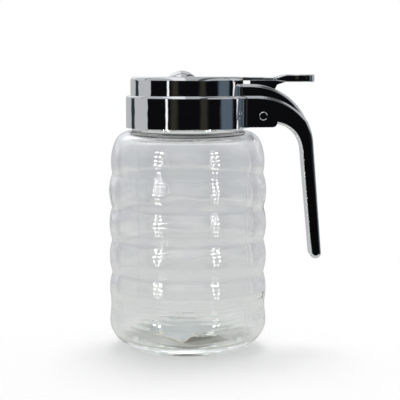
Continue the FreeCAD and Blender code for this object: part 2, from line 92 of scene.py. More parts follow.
class Nodes:
    """A short way to write a node tree."""

    def __init__(self, tree):
        self.tree = tree
        tree.nodes.clear()

    def add(self, kind, inputs=(), **settings):
        node = self.tree.nodes.new(kind)
        for key, value in settings.items():
            setattr(node, key, value)
        for key, value in dict(inputs).items():
            self.put(node.inputs[key], value)
        return node

    def put(self, socket, value):
        if isinstance(value, bpy.types.NodeSocket):
            self.tree.links.new(value, socket)
        elif isinstance(value, bpy.types.Node):
            self.tree.links.new(value.outputs[0], socket)
        else:
            socket.default_value = value

    def math(self, operation, a, b=0.0):
        return self.add("ShaderNodeMath", {0: a, 1: b}, operation=operation).outputs[0]

    def times_add(self, a, b, c):
        return self.add("ShaderNodeMath", {0: a, 1: b, 2: c}, operation="MULTIPLY_ADD").outputs[0]

    def mix(self, factor, a, b):
        node = self.add("ShaderNodeMix", data_type="RGBA")
        self.put(node.inputs["Factor"], factor)
        self.put(node.inputs[6], a)
        self.put(node.inputs[7], b)
        return node.outputs[2]

    def ramp(self, factor, stops):
        node = self.add("ShaderNodeValToRGB", {"Fac": factor})
        ramp = node.color_ramp
        while len(ramp.elements) < len(stops):
            ramp.elements.new(1.0)
        for element, (place, color) in zip(ramp.elements, stops):
            element.position = place
            element.color = (*color, 1.0)
        return node.outputs[0]

    def step(self, value, low, high):
        """0 at low and 1 at high, smooth between. Low may be the larger."""
        node = self.add("ShaderNodeMapRange", {"Value": value, "From Min": low, "From Max": high})
        node.interpolation_type = "SMOOTHSTEP"
        return node.outputs[0]

    def noise(self, vector, scale, detail):
        inputs = {"Vector": vector, "Scale": scale, "Detail": detail}
        return self.add("ShaderNodeTexNoise", inputs).outputs[0]

    def split(self, vector):
        return self.add("ShaderNodeSeparateXYZ", {0: vector}).outputs

    def coordinates(self, kind="Object"):
        return self.add("ShaderNodeTexCoord").outputs[kind]


def new_material(name):
    material = bpy.data.materials.new(name)
    material.use_nodes = True
    return material, Nodes(material.node_tree)


def grey(level):
    return (level, level, level, 1.0)


# Camera and studio --------------------------------------------------------------------------------


def add_camera():
    data = bpy.data.cameras.new("camera")
    data.sensor_width = SENSOR_WIDTH
    data.lens = CAMERA_LENS
    data.clip_end = 10.0
    camera = bpy.data.objects.new("camera", data)
    bpy.context.scene.collection.objects.link(camera)
    camera.location = (0.0, -CAMERA_DISTANCE, CAMERA_HEIGHT)
    camera.rotation_euler = (math.radians(90.0 - CAMERA_PITCH), 0.0, math.radians(-CAMERA_YAW))
    bpy.context.scene.camera = camera


# What the chrome mirrors round the room: a pale wall, and plain fields of colour laid over it in
# turn, each from and to in degrees from the front towards +X, how soft its edges are, and its colour
ROOM_WALL = (0.50, 0.51, 0.52, 1.0)
FIELDS = [
    (-80, 120, 2, (0.004, 0.004, 0.005, 1.0)),      # the unlit front
    (-130, -115, 2, (0.03, 0.04, 0.04, 1.0)),       # a dark doorway
    (-42, -36, 2, (1.1, 1.1, 1.1, 1.0)),            # strip light on the left
    (-35, -15, 8, (0.03, 0.028, 0.022, 1.0)),       # dim cloths beside the camera
    (20, 40, 8, (0.03, 0.028, 0.022, 1.0)),
    (60, 95, 8, (0.09, 0.12, 0.15, 1.0)),           # a dim blue-grey screen
    (102, 110, 2, (0.9, 0.9, 0.9, 1.0)),            # strip light on the right
]
RIPPLE_ROUND, RIPPLE_UP = 34.0, 90.0    # how finely the chrome's reflections waver, round and up
ROOM_RIPPLE = 0.012                     # how far they waver, as a share of a turn
BLACK_FROM, BLACK_TO = -2.8, -3.4       # degrees up, where the front of the room ends in black
FRONT_FROM, FRONT_TO = -0.25, -0.6      # how far forward a direction points to count as the front
CEILING_FROM, CEILING_TO = 7.0, 14.0    # degrees up, where the walls turn into the ceiling
STRIP_TILT = 69.0                       # degrees up from behind, the dark strip across the ceiling
STRIP_HALF, STRIP_EDGE = 1.5, 4.0       # degrees, the strip's half width and where its edge ends
DARK_X = (0.32, 0.40, 0.54, 0.62)       # a darker part of the ceiling, along X: from, full, full, to
DARK_SHARE = 0.8
PANEL_X, PANEL_HALF, PANEL_EDGE = -0.27, 0.17, 0.24     # a bright panel in the ceiling, along X
# What is seen through the glass, by how far up it lies: from 0 straight down to 1 straight up
SWEEP = [
    (0.0, (0.72, 0.72, 0.69)),
    (0.34, (0.80, 0.80, 0.775)),
    (0.42, (0.70, 0.70, 0.69)),
    (0.465, (0.58, 0.585, 0.60)),
    (0.505, (0.65, 0.65, 0.69)),
    (0.545, (0.84, 0.84, 0.85)),
    (0.60, (0.72, 0.73, 0.75)),
    (0.72, (1.3, 1.3, 1.3)),
    (1.0, (2.4, 2.4, 2.4)),
]
FRONT_SIDES = (0.36, 0.38, 0.375, 1.0)      # what the glass's edges bring in from the front sides
# The floor, as glossy rays and transmission rays see it
FLOOR_FAR_MIRRORED = 0.05
FLOOR_NEAR_MIRRORED = 0.55
FLOOR_THROUGH_NEAR = (0.75, 0.75, 0.73, 1.0)
FLOOR_THROUGH_FAR = (0.70, 0.70, 0.69, 1.0)
# painted shade: a darker, warm floor close under the jar, seen through the glass
UNDER_JAR_PAINTED_SHADE = (0.42, 0.385, 0.33, 1.0)
# painted shadow: dark brown on the floor under the paper slip, seen through the glass
SLIP_PAINTED_SHADOW = (0.15, 0.12, 0.085, 1.0)
# Window panes that only the glass jar mirrors: the rows' elevations, then name, azimuths, size and
# watts of what stands in each row
PANES = [
    ((0.0, 8.0, 16.0, 24.0), [
        ("left_pane", (-49.5, -41.5), (0.07, 0.04), 0.55),
        ("right_pane", (37.0, 45.0), (0.06, 0.035), 0.45),
    ]),
    ((-8.0, -16.0, -24.0), [("low_pane", (-47.0, -43.0, 38.0, 43.0), (0.035, 0.05), 0.12)]),
]
PANE_DISTANCE = 1.2
TOP_LAMP = (170, 75, 1.3, (0.6, 0.6), 8.0)      # azimuth, elevation, distance, size and watts


def share_of_turn(degrees):
    """Where a direction lies round the room, from 0 behind by the left to 1."""
    return (degrees + 180.0) / 360.0


def laid_over(n, place, room, start, end, soft, color):
    """The room with one field of colour over it."""
    rising = n.step(place, share_of_turn(start), share_of_turn(start + soft))
    falling = n.step(place, share_of_turn(end), share_of_turn(end - soft))
    return n.mix(n.math("MULTIPLY", rising, falling), room, color)


def mirrored_walls(n, y, place, rise):
    at = n.add("ShaderNodeCombineXYZ", {
        0: n.math("MULTIPLY", place, RIPPLE_ROUND),
        1: n.math("MULTIPLY", rise, RIPPLE_UP),
    })
    ripple = n.times_add(n.noise(at, 1.0, 1.0), ROOM_RIPPLE, -ROOM_RIPPLE / 2)
    place = n.math("ADD", place, ripple)
    walls = ROOM_WALL
    for field in FIELDS:
        walls = laid_over(n, place, walls, *field)
    below = n.step(rise, math.radians(BLACK_FROM), math.radians(BLACK_TO))
    front_low = n.math("MULTIPLY", below, n.step(y, FRONT_FROM, FRONT_TO))
    return n.mix(front_low, walls, grey(0.003))


def mirrored_ceiling(n, x, y, z):
    tilt = n.math("ARCTAN2", z, y)
    off_strip = n.math("ABSOLUTE", n.math("SUBTRACT", tilt, math.radians(STRIP_TILT)))
    off_strip = n.step(off_strip, math.radians(STRIP_HALF), math.radians(STRIP_EDGE))
    start, full_from, full_to, end = DARK_X
    dark = n.math("MULTIPLY", n.step(x, start, full_from), n.step(x, end, full_to))
    lit = n.math("MULTIPLY", off_strip, n.math("SUBTRACT", 1.0, n.math("MULTIPLY", dark, DARK_SHARE)))
    pale = n.mix(n.step(y, -0.25, 0.25), (0.44, 0.45, 0.47, 1.0), (0.56, 0.57, 0.59, 1.0))
    panel = n.step(n.math("ABSOLUTE", n.math("ADD", x, -PANEL_X)), PANEL_EDGE, PANEL_HALF)
    pale = n.mix(panel, pale, (0.88, 0.89, 0.90, 1.0))
    return n.mix(lit, grey(0.02), pale)


def studio_mirror(n):
    """The room that glossy rays see: dark in front with lit strips, pale behind and above."""
    x, y, z = n.split(n.coordinates("Generated"))
    turn = n.math("ARCTAN2", x, n.math("MULTIPLY", y, -1.0))
    place = n.times_add(turn, 1.0 / math.tau, 0.5)
    rise = n.math("ARCSINE", z)
    above = n.step(rise, math.radians(CEILING_FROM), math.radians(CEILING_TO))
    return n.mix(above, mirrored_walls(n, y, place, rise), mirrored_ceiling(n, x, y, z))


def studio_through(n):
    """What is seen through the glass: a pale sweep, darker towards the front's sides."""
    _, y, z = n.split(n.coordinates("Generated"))
    sweep = n.ramp(n.times_add(z, 0.5, 0.5), SWEEP)
    side = n.math("MULTIPLY", n.step(y, -0.12, -0.45), n.step(y, -0.93, -0.78))
    return n.mix(side, sweep, FRONT_SIDES)


def add_world():
    world = bpy.data.worlds.new("studio")
    bpy.context.scene.world = world
    world.use_nodes = True
    n = Nodes(world.node_tree)
    path = n.add("ShaderNodeLightPath").outputs
    color = n.mix(path["Is Glossy Ray"], grey(ROOM_LIGHT), studio_mirror(n))
    # A ray through glass can count as glossy too, so its branch comes after
    color = n.mix(path["Is Transmission Ray"], color, studio_through(n))
    color = n.mix(path["Is Camera Ray"], color, grey(1.0))
    background = n.add("ShaderNodeBackground", {"Color": color, "Strength": 1.0})
    n.add("ShaderNodeOutputWorld", {"Surface": background})


def floor_as_lit(n, reach, camera_ray):
    """White with the object's shadow, turning into the plain background further out."""
    diffuse = n.add("ShaderNodeBsdfDiffuse", {"Color": grey(FLOOR_WHITE)})
    lift = n.math("MULTIPLY", camera_ray, FLOOR_LIFT)
    lift = n.add("ShaderNodeEmission", {"Color": grey(1.0), "Strength": lift})
    near = n.add("ShaderNodeAddShader", {0: diffuse, 1: lift})
    far = n.add("ShaderNodeEmission", {"Color": grey(1.0), "Strength": 1.0})
    fade = n.math("MULTIPLY", n.step(reach, FADE_FROM, FADE_TO), camera_ray)
    return n.add("ShaderNodeMixShader", {0: fade, 1: near, 2: far})


def floor_as_mirrored(n, position, reach):
    behind = n.step(n.split(position)[1], 0.01, 0.12)
    under = n.step(reach, 0.20, 0.15)
    pale = n.math("MAXIMUM", behind, under)
    color = n.mix(pale, grey(FLOOR_FAR_MIRRORED), grey(FLOOR_NEAR_MIRRORED))
    return n.add("ShaderNodeEmission", {"Color": color})


def floor_through_glass(n, position, reach):
    """The floor behind the glass, with painted shade under the jar and the slip's painted shadow, and
    how much of it is that instead of the lit floor.
    """
    # painted shade close under the jar; there a little more of the lit floor, with its own shadow, is
    # mixed in
    under_jar_shade = n.step(reach, 0.045, 0.02)
    color = n.mix(n.step(reach, 0.06, 0.20), FLOOR_THROUGH_NEAR, FLOOR_THROUGH_FAR)
    color = n.mix(under_jar_shade, color, UNDER_JAR_PAINTED_SHADE)
    # painted shadow of the paper slip on the floor beneath it, seen through the glass
    u, v = slip_place(n, position)
    starts = n.math("MULTIPLY", n.step(u, 1.5 * MM, 5.0 * MM), n.step(v, 2.0 * MM, 4.5 * MM))
    ends = n.math("MULTIPLY", n.step(u, SLIP_WIDE * MM, (SLIP_WIDE - 4.0) * MM),
                  n.step(v, SLIP_LONG * MM, (SLIP_LONG - 4.0) * MM))
    color = n.mix(n.math("MULTIPLY", starts, ends), color, SLIP_PAINTED_SHADOW)
    share = n.math("SUBTRACT", 0.9, n.math("MULTIPLY", under_jar_shade, 0.15))
    return n.add("ShaderNodeEmission", {"Color": color}), share


def add_floor():
    """A white disc just under the object."""
    turns = [math.tau * i / FLOOR_STEPS for i in range(FLOOR_STEPS)]
    ring = [(FLOOR_RADIUS * math.cos(t), FLOOR_RADIUS * math.sin(t), 0.0) for t in turns]
    floor = mesh_piece("floor", ring, [list(range(FLOOR_STEPS))], smooth=False)
    floor.location.z = cad_low.z - 0.05 * MM
    material, n = new_material("floor_white")
    position = n.coordinates()
    reach = n.add("ShaderNodeVectorMath", {0: position}, operation="LENGTH").outputs["Value"]
    rays = n.add("ShaderNodeLightPath").outputs
    surface = floor_as_lit(n, reach, rays["Is Camera Ray"])
    mirrored = floor_as_mirrored(n, position, reach)
    surface = n.add("ShaderNodeMixShader", {0: rays["Is Glossy Ray"], 1: surface, 2: mirrored})
    through, share = floor_through_glass(n, position, reach)
    share = n.math("MULTIPLY", rays["Is Transmission Ray"], share)
    surface = n.add("ShaderNodeMixShader", {0: share, 1: surface, 2: through})
    n.add("ShaderNodeOutputMaterial", {"Surface": surface})
    floor.data.materials.append(material)


def add_lamp(name, azimuth, elevation, distance, size, power):
    """A flat lamp that faces the middle of the object. Azimuth is from the front towards +X."""
    data = bpy.data.lights.new(name, "AREA")
    data.shape = "RECTANGLE"
    data.size, data.size_y = size
    data.energy = power
    lamp = bpy.data.objects.new(name, data)
    bpy.context.scene.collection.objects.link(lamp)
    a, e = math.radians(azimuth), math.radians(elevation)
    middle = (cad_low + cad_high) / 2
    back = Vector((math.sin(a) * math.cos(e), -math.cos(a) * math.cos(e), math.sin(e)))
    lamp.location = middle + back * distance
    lamp.rotation_mode = "QUATERNION"
    lamp.rotation_quaternion = back.to_track_quat("Z", "Y")
    return lamp


def add_row(row, elevation, panes):
    """One row of window panes."""
    return [add_lamp(f"{name}_{row}_{i}", azimuth, elevation, PANE_DISTANCE, size, power)
            for name, azimuths, size, power in panes for i, azimuth in enumerate(azimuths)]


def add_lamps(jar):
    """Window panes in front, seen only by the glass, and one soft lamp overhead."""
    glass_only = bpy.data.collections.new("glass_only")
    glass_only.objects.link(jar)
    for elevations, panes in PANES:
        for row, elevation in enumerate(elevations):
            for pane in add_row(row, elevation, panes):
                pane.light_linking.receiver_collection = glass_only
    top = add_lamp("top_lamp", *TOP_LAMP)
    top.visible_glossy = False


# Glass jar ----------------------------------------------------------------------------------------

# Sizes of the jar's section in millimetres, the same as the CAD's
RIB_PEAK = 36.25
RIB_PITCH = 15.0
RIB_COUNT = 4
RIB_ROUND = 23.1
VALLEY_ROUND = 3.0
LOW_VALLEY_ROUND = 28.0
HEEL_RISE = 13.5
FOOT_RADIUS = 17.5
FOOT_WIDTH = 3.5
PUSH_UP = 1.8
SHOULDER_PEAK = 35.4
SHOULDER_GAP = 13.5
SHOULDER_TURN = 24.0
NECK_RADIUS = 25.6
SHOULDER_FLAT = 0.5
WALL = 2.6
NECK_WALL = 2.8
FLOOR_HEIGHT = 5.0
FLOOR_CORNER = 8.15
RIM_ROUND = 0.8
RIM_SPACING = 0.2           # between points round the rim
FLOOR_SPACING = 0.8         # between points across the floor
HEEL_STEPS, CORNER_STEPS = 44, 30       # up the outside's heel and the inside's floor corner
JAR_SEGMENTS = 138
SEAMS = (316.0, 136.0)      # degrees from +X, where the mould's halves met
SEAM_HALF = 0.45
SEAM_HEIGHT = 0.10
SEAM_STEPS = (-2.0, -1.0, -0.5, 0.0, 0.5, 1.0, 2.0)     # extra angles round a seam, in half widths
SEAM_CLEAR = 3.5            # half widths round a seam kept free of the even angles
OUTER_WAVE = 0.035
OUTER_WAVE_SCALE = 0.11
# Waves on the inside: how fine across and up, where in the noise, and how high
INNER_WAVES = [(0.10, 0.17, 31.0, 0.19), (0.25, 0.42, 7.0, 0.05)]
CALM_SHARE = 0.25           # what is left of them by the floor and the shoulder
RIPPLE_PITCH = 2.3
RIPPLE_HEIGHT = 0.065
RIPPLE_SIDES = 0.3          # what is left of the ripples at the jar's left and right
CLEAR_TINTS = (0.935, 0.950, 0.950, 1.0), (0.950, 0.960, 0.962, 1.0)
BASE_TINT = (0.72, 0.81, 0.765, 1.0)
BASE_TINT_TOP, BASE_TINT_FULL = 9.0, 1.0


def arc_points(centre, radius, start, end, spacing=0.55):
    """Points along an arc, from start to end in degrees, without the last."""
    sweep = math.radians(end - start)
    count = max(2, math.ceil(abs(sweep) * abs(radius) / spacing))
    angles = [math.radians(start) + sweep * i / count for i in range(count)]
    return [(centre[0] + radius * math.cos(a), centre[1] + radius * math.sin(a)) for a in angles]


def run_points(start, end, spacing=0.55):
    count = max(1, math.ceil(math.dist(start, end) / spacing))
    return [tuple(s + (e - s) * i / count for s, e in zip(start, end)) for i in range(count)]


def quarter_ellipse(centre, run, rise, count):
    """From the bottom of an ellipse to its outer side, without the last point."""
    angles = [math.pi / 2 * i / count for i in range(count)]
    return [(centre[0] + run * math.sin(a), centre[1] - rise * math.cos(a)) for a in angles]


def groove_centre(low, high, reach):
    dx, dz = high[0] - low[0], high[1] - low[1]
    apart = math.hypot(dx, dz)
    out = math.sqrt(reach ** 2 - (apart / 2) ** 2)
    return ((low[0] + high[0]) / 2 + out * dz / apart, (low[1] + high[1]) / 2 - out * dx / apart)


def heading(start, end):
    return math.degrees(math.atan2(end[1] - start[1], end[0] - start[0]))


def shoulder_z():
    return HEEL_RISE + RIB_COUNT * RIB_PITCH + SHOULDER_GAP


def shoulder_round():
    lean = math.radians(SHOULDER_TURN)
    return RIB_ROUND - (NECK_RADIUS + SHOULDER_FLAT - SHOULDER_PEAK + RIB_ROUND) / math.cos(lean)


def neck_base_z():
    reach = RIB_ROUND - shoulder_round()
    return shoulder_z() + reach * math.sin(math.radians(SHOULDER_TURN)) + shoulder_round()


def ribbed_side(inset):
    """Points up the ribbed wall, from the foot band to the top of the shoulder, set in by inset."""
    heights = [HEEL_RISE + i * RIB_PITCH for i in range(RIB_COUNT + 1)]
    centres = [(RIB_PEAK - RIB_ROUND, z) for z in heights]
    centres.append((SHOULDER_PEAK - RIB_ROUND, shoulder_z()))
    points = []
    start = 0.0
    for i, (low, high) in enumerate(zip(centres, centres[1:])):
        groove = LOW_VALLEY_ROUND if i == 0 else VALLEY_ROUND
        hollow = groove_centre(low, high, RIB_ROUND + groove)
        points += arc_points(low, RIB_ROUND - inset, start, heading(low, hollow))
        first, last = heading(hollow, low) % 360, heading(hollow, high) % 360
        points += arc_points(hollow, groove + inset, first, last)
        start = heading(high, hollow)
    points += arc_points(centres[-1], RIB_ROUND - inset, start, SHOULDER_TURN)
    corner = (NECK_RADIUS + SHOULDER_FLAT, neck_base_z() - shoulder_round())
    points += arc_points(corner, shoulder_round() - inset, SHOULDER_TURN, 90.0)
    return points + [(corner[0], neck_base_z() - inset)]


def outer_section(top_z):
    """Radius and height up the jar's outside, from the middle of the base to the rim."""
    foot_inner = FOOT_RADIUS - FOOT_WIDTH
    dome = (foot_inner ** 2 + PUSH_UP ** 2) / (2 * PUSH_UP)
    dome_start = math.degrees(math.acos(foot_inner / dome))
    points = arc_points((0.0, PUSH_UP - dome), dome, 90.0, dome_start)
    points += run_points((foot_inner, 0.0), (FOOT_RADIUS, 0.0))
    points += quarter_ellipse((FOOT_RADIUS, HEEL_RISE), RIB_PEAK - FOOT_RADIUS, HEEL_RISE, HEEL_STEPS)
    points += ribbed_side(0.0)
    points += run_points((NECK_RADIUS, neck_base_z()), (NECK_RADIUS, top_z - RIM_ROUND))
    points += arc_points((NECK_RADIUS - RIM_ROUND, top_z - RIM_ROUND), RIM_ROUND, 0.0, 90.0, RIM_SPACING)
    return points


def inner_section(top_z):
    """Radius and height up the jar's inside, from the middle of the floor to the rim."""
    bore = NECK_RADIUS - NECK_WALL
    floor_radius = RIB_PEAK - WALL - FLOOR_CORNER
    points = run_points((0.0, FLOOR_HEIGHT), (floor_radius, FLOOR_HEIGHT), FLOOR_SPACING)
    rise = HEEL_RISE - FLOOR_HEIGHT
    points += quarter_ellipse((floor_radius, HEEL_RISE), FLOOR_CORNER, rise, CORNER_STEPS)
    points += ribbed_side(WALL)
    points += run_points((bore, neck_base_z() - WALL), (bore, top_z - RIM_ROUND))
    points += arc_points((bore + RIM_ROUND, top_z - RIM_ROUND), RIM_ROUND, 180.0, 90.0, RIM_SPACING)
    return points


def turn_angles():
    """Angles round the jar, closer together at its two mould seams."""
    angles = [math.tau * i / JAR_SEGMENTS for i in range(JAR_SEGMENTS)]
    for seam in [math.radians(degrees) for degrees in SEAMS]:
        near = [seam + step * SEAM_HALF / RIB_PEAK for step in SEAM_STEPS]
        angles = [a for a in angles if abs(a - seam) > SEAM_CLEAR * SEAM_HALF / RIB_PEAK] + near
    return sorted(angles)


def lathe(name, section, angles, wobble):
    """Turn a closed section, whose first and last points are on the axis, into a mesh in metres."""
    ends, rings, count = (section[0], section[-1]), section[1:-1], len(angles)
    verts = []
    for k, (radius, z) in enumerate(rings):
        for a in angles:
            r = radius + wobble(k + 1, radius, z, a)
            verts.append((r * math.cos(a) * MM, r * math.sin(a) * MM, z * MM))
    faces = []
    for k in range(len(rings) - 1):
        for i in range(count):
            j = (i + 1) % count
            low, high = k * count, (k + 1) * count
            faces.append((low + i, low + j, high + j, high + i))
    for ring, (_, z) in ((0, ends[0]), (len(rings) - 1, ends[1])):
        verts.append((0.0, 0.0, z * MM))
        for i in range(count):
            a, b = ring * count + i, ring * count + (i + 1) % count
            faces.append((b, a, len(verts) - 1) if ring == 0 else (a, b, len(verts) - 1))
    return mesh_piece(name, verts, faces)


def smooth_step(value, low, high):
    t = min(1.0, max(0.0, (value - low) / (high - low)))
    return t * t * (3.0 - 2.0 * t)


def seam_ridge(a):
    """How far a mould seam stands out at an angle round the jar."""
    away = min(abs((a - math.radians(seam) + math.pi) % math.tau - math.pi) for seam in SEAMS)
    ridge = max(0.0, 1.0 - away * RIB_PEAK / SEAM_HALF)
    return SEAM_HEIGHT * ridge * ridge * (3 - 2 * ridge)


def outside_wobble(x, y, z, a):
    """Two mould seams and a soft wave that stays inside the CAD shape."""
    wave = noise.noise(Vector((x, y, z)) * OUTER_WAVE_SCALE) * OUTER_WAVE - OUTER_WAVE
    return (seam_ridge(a) + wave) * (smooth_step(z, 6.0, 12.0) * smooth_step(z, 100.0, 90.0))


def inside_wobble(x, y, z, a):
    """Soft waves, calmer by the floor and the shoulder, and fine ripples low down."""
    wave = sum(noise.noise(Vector((x * across, y * across, z * up + place))) * height
               for across, up, place, height in INNER_WAVES)
    wave *= CALM_SHARE + (1 - CALM_SHARE) * smooth_step(z, 12.0, 24.0) * smooth_step(z, 100.0, 70.0)
    band = smooth_step(z, 34.0, 28.0) * smooth_step(z, 10.5, 15.0)
    crooked = noise.noise(Vector((x * 0.12, y * 0.12, z * 0.3))) * 3.0
    ripple = math.sin(math.tau * z / RIPPLE_PITCH + crooked) * RIPPLE_HEIGHT * band
    ripple *= RIPPLE_SIDES + (1 - RIPPLE_SIDES) * math.sin(a) ** 2
    return (wave + ripple) * smooth_step(z, 98.0, 92.0)


def make_jar():
    """The jar, uneven as pressed glass is."""
    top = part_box("glass_jar")[1].z / MM
    outer, inner = outer_section(top), inner_section(top)

    def wobble(index, radius, z, a):
        x, y = radius * math.cos(a), radius * math.sin(a)
        if index < len(outer):
            return outside_wobble(x, y, z, a)
        return smooth_step(radius, 20.0, 26.0) * inside_wobble(x, y, z, a)

    jar = lathe("jar_glass", outer + inner[::-1], turn_angles(), wobble)
    jar.data.materials.append(glass_material())
    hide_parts("glass_jar")
    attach(jar, "jar_body")
    return jar


def glass_material():
    """Clear glass, a little uneven and greener in the thick base."""
    material, n = new_material("clear_glass")
    position = n.coordinates()
    height = n.split(position)[2]
    wall = n.mix(n.noise(position, 28.0, 2.0), *CLEAR_TINTS)
    tint = n.mix(n.step(height, BASE_TINT_TOP * MM, BASE_TINT_FULL * MM), wall, BASE_TINT)
    shader = n.add("ShaderNodeBsdfPrincipled", {
        "Base Color": tint,
        "Transmission Weight": 1.0,
        "IOR": 1.5,
        "Roughness": 0.0,
    })
    n.add("ShaderNodeOutputMaterial", {"Surface": shader})
    return material


# Chrome -------------------------------------------------------------------------------------------


# Radius and top of the collar's bore and the tier's, in millimetres
CAP_INSIDES = [(26.9, 116.4), (24.6, 122.8)]
CHROME_TONES = (0.86, 0.87, 0.88, 1.0), (0.91, 0.92, 0.93, 1.0)
# painted shade: near-black tones for the inside of the cap's bores
INSIDE_SHADE_TONES = (0.05, 0.05, 0.05, 1.0), (0.10, 0.10, 0.10, 1.0)
DULL_ROUGHNESS = 0.45
HAZE_SCALE = 120.0
HAZE_FROM, HAZE_TO = 0.52, 0.8          # most of the surface is under the first and stays a clean mirror
WIPE_SCALE = (260.0, 2600.0, 1500.0)
WIPE_FROM, WIPE_TO = 0.35, 0.7
WIPE_ROUGHNESS = 0.09
PLATING_SCALE = 55.0
PLATING_STRENGTH, PLATING_DEPTH = 0.018, 0.0006


def shaded_inside(n, position, haze, tone, rough):
    """Painted shade inside the cap's bores: a near-black tone, and a rougher, dull surface."""
    x, y, z = n.split(position)
    radius = n.math("SQRT", n.math("ADD", n.math("MULTIPLY", x, x), n.math("MULTIPLY", y, y)))
    bores = [n.math("MULTIPLY", n.math("LESS_THAN", radius, bore * MM), n.math("LESS_THAN", z, top * MM))
             for bore, top in CAP_INSIDES]
    inside = n.math("MAXIMUM", *bores)
    tone = n.mix(inside, tone, n.mix(haze, *INSIDE_SHADE_TONES))
    return tone, n.math("MAXIMUM", rough, n.math("MULTIPLY", inside, DULL_ROUGHNESS))


def chrome_material(name, hollow=False):
    """Mirror chrome with a trace of haze, wipe marks and uneven plating."""
    material, n = new_material(name)
    position = n.coordinates()
    haze = n.noise(position, HAZE_SCALE, 4.0)
    along = n.add("ShaderNodeMapping", {"Vector": position, "Scale": WIPE_SCALE})
    wipes = n.step(n.noise(along, 1.0, 2.0), WIPE_FROM, WIPE_TO)
    wipes = n.math("MULTIPLY", wipes, WIPE_ROUGHNESS)
    rough = n.math("MULTIPLY", n.step(haze, HAZE_FROM, HAZE_TO), wipes)
    tone = n.mix(haze, *CHROME_TONES)
    # the cap gets painted shade in its bores
    if hollow:
        tone, rough = shaded_inside(n, position, haze, tone, rough)
    bump = n.add("ShaderNodeBump", {
        "Height": n.noise(position, PLATING_SCALE, 1.0),
        "Strength": PLATING_STRENGTH,
        "Distance": PLATING_DEPTH,
    })
    shader = n.add("ShaderNodeBsdfPrincipled", {
        "Base Color": tone,
        "Metallic": 1.0,
        "Roughness": rough,
        "Normal": bump.outputs[0],
    })
    n.add("ShaderNodeOutputMaterial", {"Surface": shader})
    return material


def make_chrome():
    """The cap, handle and pin keep their CAD shapes and get chrome in place of the plain material."""
    for node in ("cap", "handle", "cross_pin"):
        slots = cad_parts[node].data.materials
        slots.clear()
        slots.append(chrome_material("chrome_" + node, hollow=node == "cap"))


# Thumb gate ---------------------------------------------------------------------------------------

# Sizes of the gate in millimetres, the same as the CAD's but for the pad's flare and the roundings
GATE_TOP = 125.59
GATE_BOTTOM = 123.99
PAD_TOP = 126.74
PAD_BOTTOM = 123.34
GATE_TIP = -21.75
TIP_ROUND = 3.0
TONGUE_HALF = 7.0
EDGE_ROUND = 0.35
SHANK_START = 24.6
SHANK_HALF = 5.2
PAD_HALF = 8.0
PAD_END = 57.9
PAD_ROUND = 5.4
PAD_EDGE = 0.9              # reach and depth of the rounding at the pad's end
PAD_EDGE_DEPTH = 0.8
DOME_X = -2.65
DOME_RADIUS = 6.2
DOME_HEIGHT = 2.89
DOME_SINK = 0.3             # the dome's foot goes this far into the tongue
WEB_HALF = 2.2
# Side view of the web under the shank
WEB_PROFILE = [
    (28.6, 124.79),
    (28.6, 113.2),
    (36.5, 113.2),
    (40.9, 122.14),
    (44.7, 123.34),
    (44.7, 125.04),
    (40.3, 124.79),
]
# Where the tongue turns into the shank: place, half width and rounding
SHANK_STATIONS = [
    (SHANK_START - 0.3, TONGUE_HALF, EDGE_ROUND),
    (SHANK_START, 6.6, EDGE_ROUND),
    (SHANK_START + 0.25, 5.4, EDGE_ROUND),
    (SHANK_START + 0.6, SHANK_HALF, 0.4),
    (38.6, SHANK_HALF, 0.5),
    (39.2, 5.5, 0.5),
]
# Where the shank turns into the pad: place, half width, bottom, top and rounding
PAD_STATIONS = [
    (40.0, 7.1, GATE_BOTTOM - 0.05, GATE_TOP + 0.02, 0.6),
    (40.5, 7.35, GATE_BOTTOM - 0.1, GATE_TOP + 0.1, 0.6),
    (42.3, 7.4, GATE_BOTTOM - 0.33, GATE_TOP + 0.6, 0.5),
    (44.0, 7.4, PAD_BOTTOM + 0.06, PAD_TOP - 0.12, 0.5),
    (44.9, 7.4, PAD_BOTTOM, PAD_TOP, 0.4),
    (48.4, 7.4, PAD_BOTTOM, PAD_TOP, 0.4),
    (48.9, 7.5, PAD_BOTTOM, PAD_TOP, 0.4),
    (49.9, 7.9, PAD_BOTTOM, PAD_TOP, 0.4),
    (50.4, PAD_HALF, PAD_BOTTOM, PAD_TOP, 0.4),
]


def gate_stations():
    """The gate along X: place, half width, bottom, top and rounding of the long edges."""
    stations, tip_steps, end_steps = [], 8, 12
    for i in range(tip_steps + 1):      # rounded front corners
        a = math.pi / 2 * i / tip_steps
        x = GATE_TIP + TIP_ROUND * (1 - math.cos(a))
        half = TONGUE_HALF - TIP_ROUND + TIP_ROUND * math.sin(a)
        stations.append((x, half, GATE_BOTTOM, GATE_TOP, EDGE_ROUND))
    stations += [(x, half, GATE_BOTTOM, GATE_TOP, edge) for x, half, edge in SHANK_STATIONS]
    stations += PAD_STATIONS
    for i in range(1, end_steps + 1):   # rounded end of the pad
        a = math.pi / 2 * i / end_steps
        x = PAD_END - PAD_ROUND + PAD_ROUND * math.sin(a)
        close = max(0.0, (x - (PAD_END - PAD_EDGE)) / PAD_EDGE)
        nip = PAD_EDGE_DEPTH * (1 - math.sqrt(max(0.0, 1 - close * close)))
        half = PAD_HALF - PAD_ROUND + PAD_ROUND * math.cos(a) - 0.6 * nip
        stations.append((x, half, PAD_BOTTOM + nip, PAD_TOP - nip, 0.5))
    return stations


def rounded_ring(half, bottom, top, edge, steps=5):
    """A rounded rectangle in a plane across X."""
    ring = []
    for cy, cz, start in ((half, top, 0), (-half, top, 90), (-half, bottom, 180), (half, bottom, 270)):
        centre = (cy - math.copysign(edge, cy), cz + (edge if cz == bottom else -edge))
        for i in range(steps + 1):
            a = math.radians(start + 90.0 * i / steps)
            ring.append((centre[0] + edge * math.cos(a), centre[1] + edge * math.sin(a)))
    return ring


